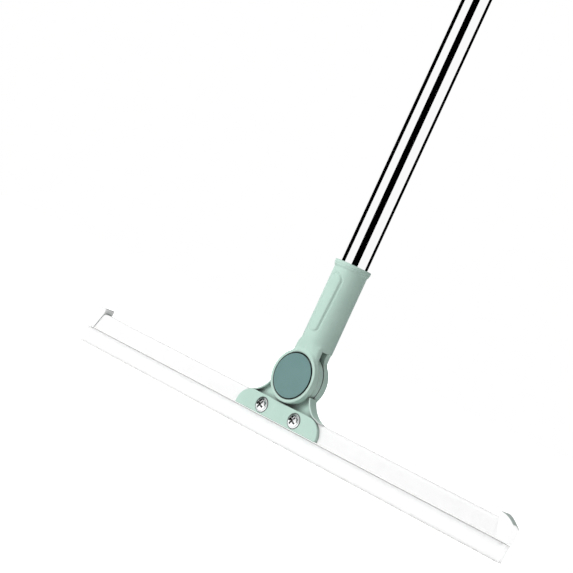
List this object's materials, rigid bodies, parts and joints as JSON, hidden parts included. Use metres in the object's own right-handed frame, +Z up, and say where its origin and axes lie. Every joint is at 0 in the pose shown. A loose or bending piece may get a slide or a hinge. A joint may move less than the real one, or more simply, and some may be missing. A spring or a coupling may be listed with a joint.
{
  "type": "floor squeegee",
  "caption": "Floor squeegee: a polished pole in a moulded collar, a round fork with a disc cap, a swivelling bracket with a flared foot and a wide head with a soft wiping blade and raised end caps.",
  "frame": {"origin": "centre of the hanging hole in the cap at the top of the pole", "axes": "+Z up the pole, +X along the head, -Y towards the front face with the disc and the clamp screws"},
  "size_m": [0.44, 0.0295, 1.2495],
  "materials": {
    "mint_plastic": "satin moulded polypropylene",
    "teal_plastic": "satin moulded",
    "white_plastic": "satin moulded",
    "white_rubber": "soft matt",
    "nylon": "natural moulded",
    "stainless": "polished stainless steel",
    "plated_steel": "bright plated",
    "spring_steel": "plain"
  },
  "bodies": {
    "pole": {"hang_cap": "mint_plastic", "grip_sleeve": "mint_plastic", "upper_tube": "stainless", "upper_joint_plug": "nylon", "upper_joint_socket": "nylon", "middle_tube": "stainless", "lower_joint_plug": "nylon", "lower_joint_socket": "nylon", "lower_tube": "stainless", "foot_plug": "nylon", "pole_screw": "plated_steel", "swivel_collar": "mint_plastic", "disc_cap": "teal_plastic", "pivot_bolt": "plated_steel", "friction_ring": "nylon", "thrust_washer": "plated_steel", "disc_spring": "spring_steel", "lock_nut": "plated_steel"},
    "head": {"swivel_bracket": "mint_plastic", "clamp_plate": "mint_plastic", "clamp_screws": "plated_steel", "clamp_nuts": "plated_steel", "blade_rail": "white_plastic", "blade": "white_rubber", "end_cap_left": "white_plastic", "end_cap_right": "white_plastic"}
  },
  "joints": [
    {"name": "head_swivel", "type": "hinge", "parent": "pole", "child": "head", "pos_m": [0, 0, -1.188], "axis": [0, 1, 0], "range_deg": [-75, 75]}
  ]
}
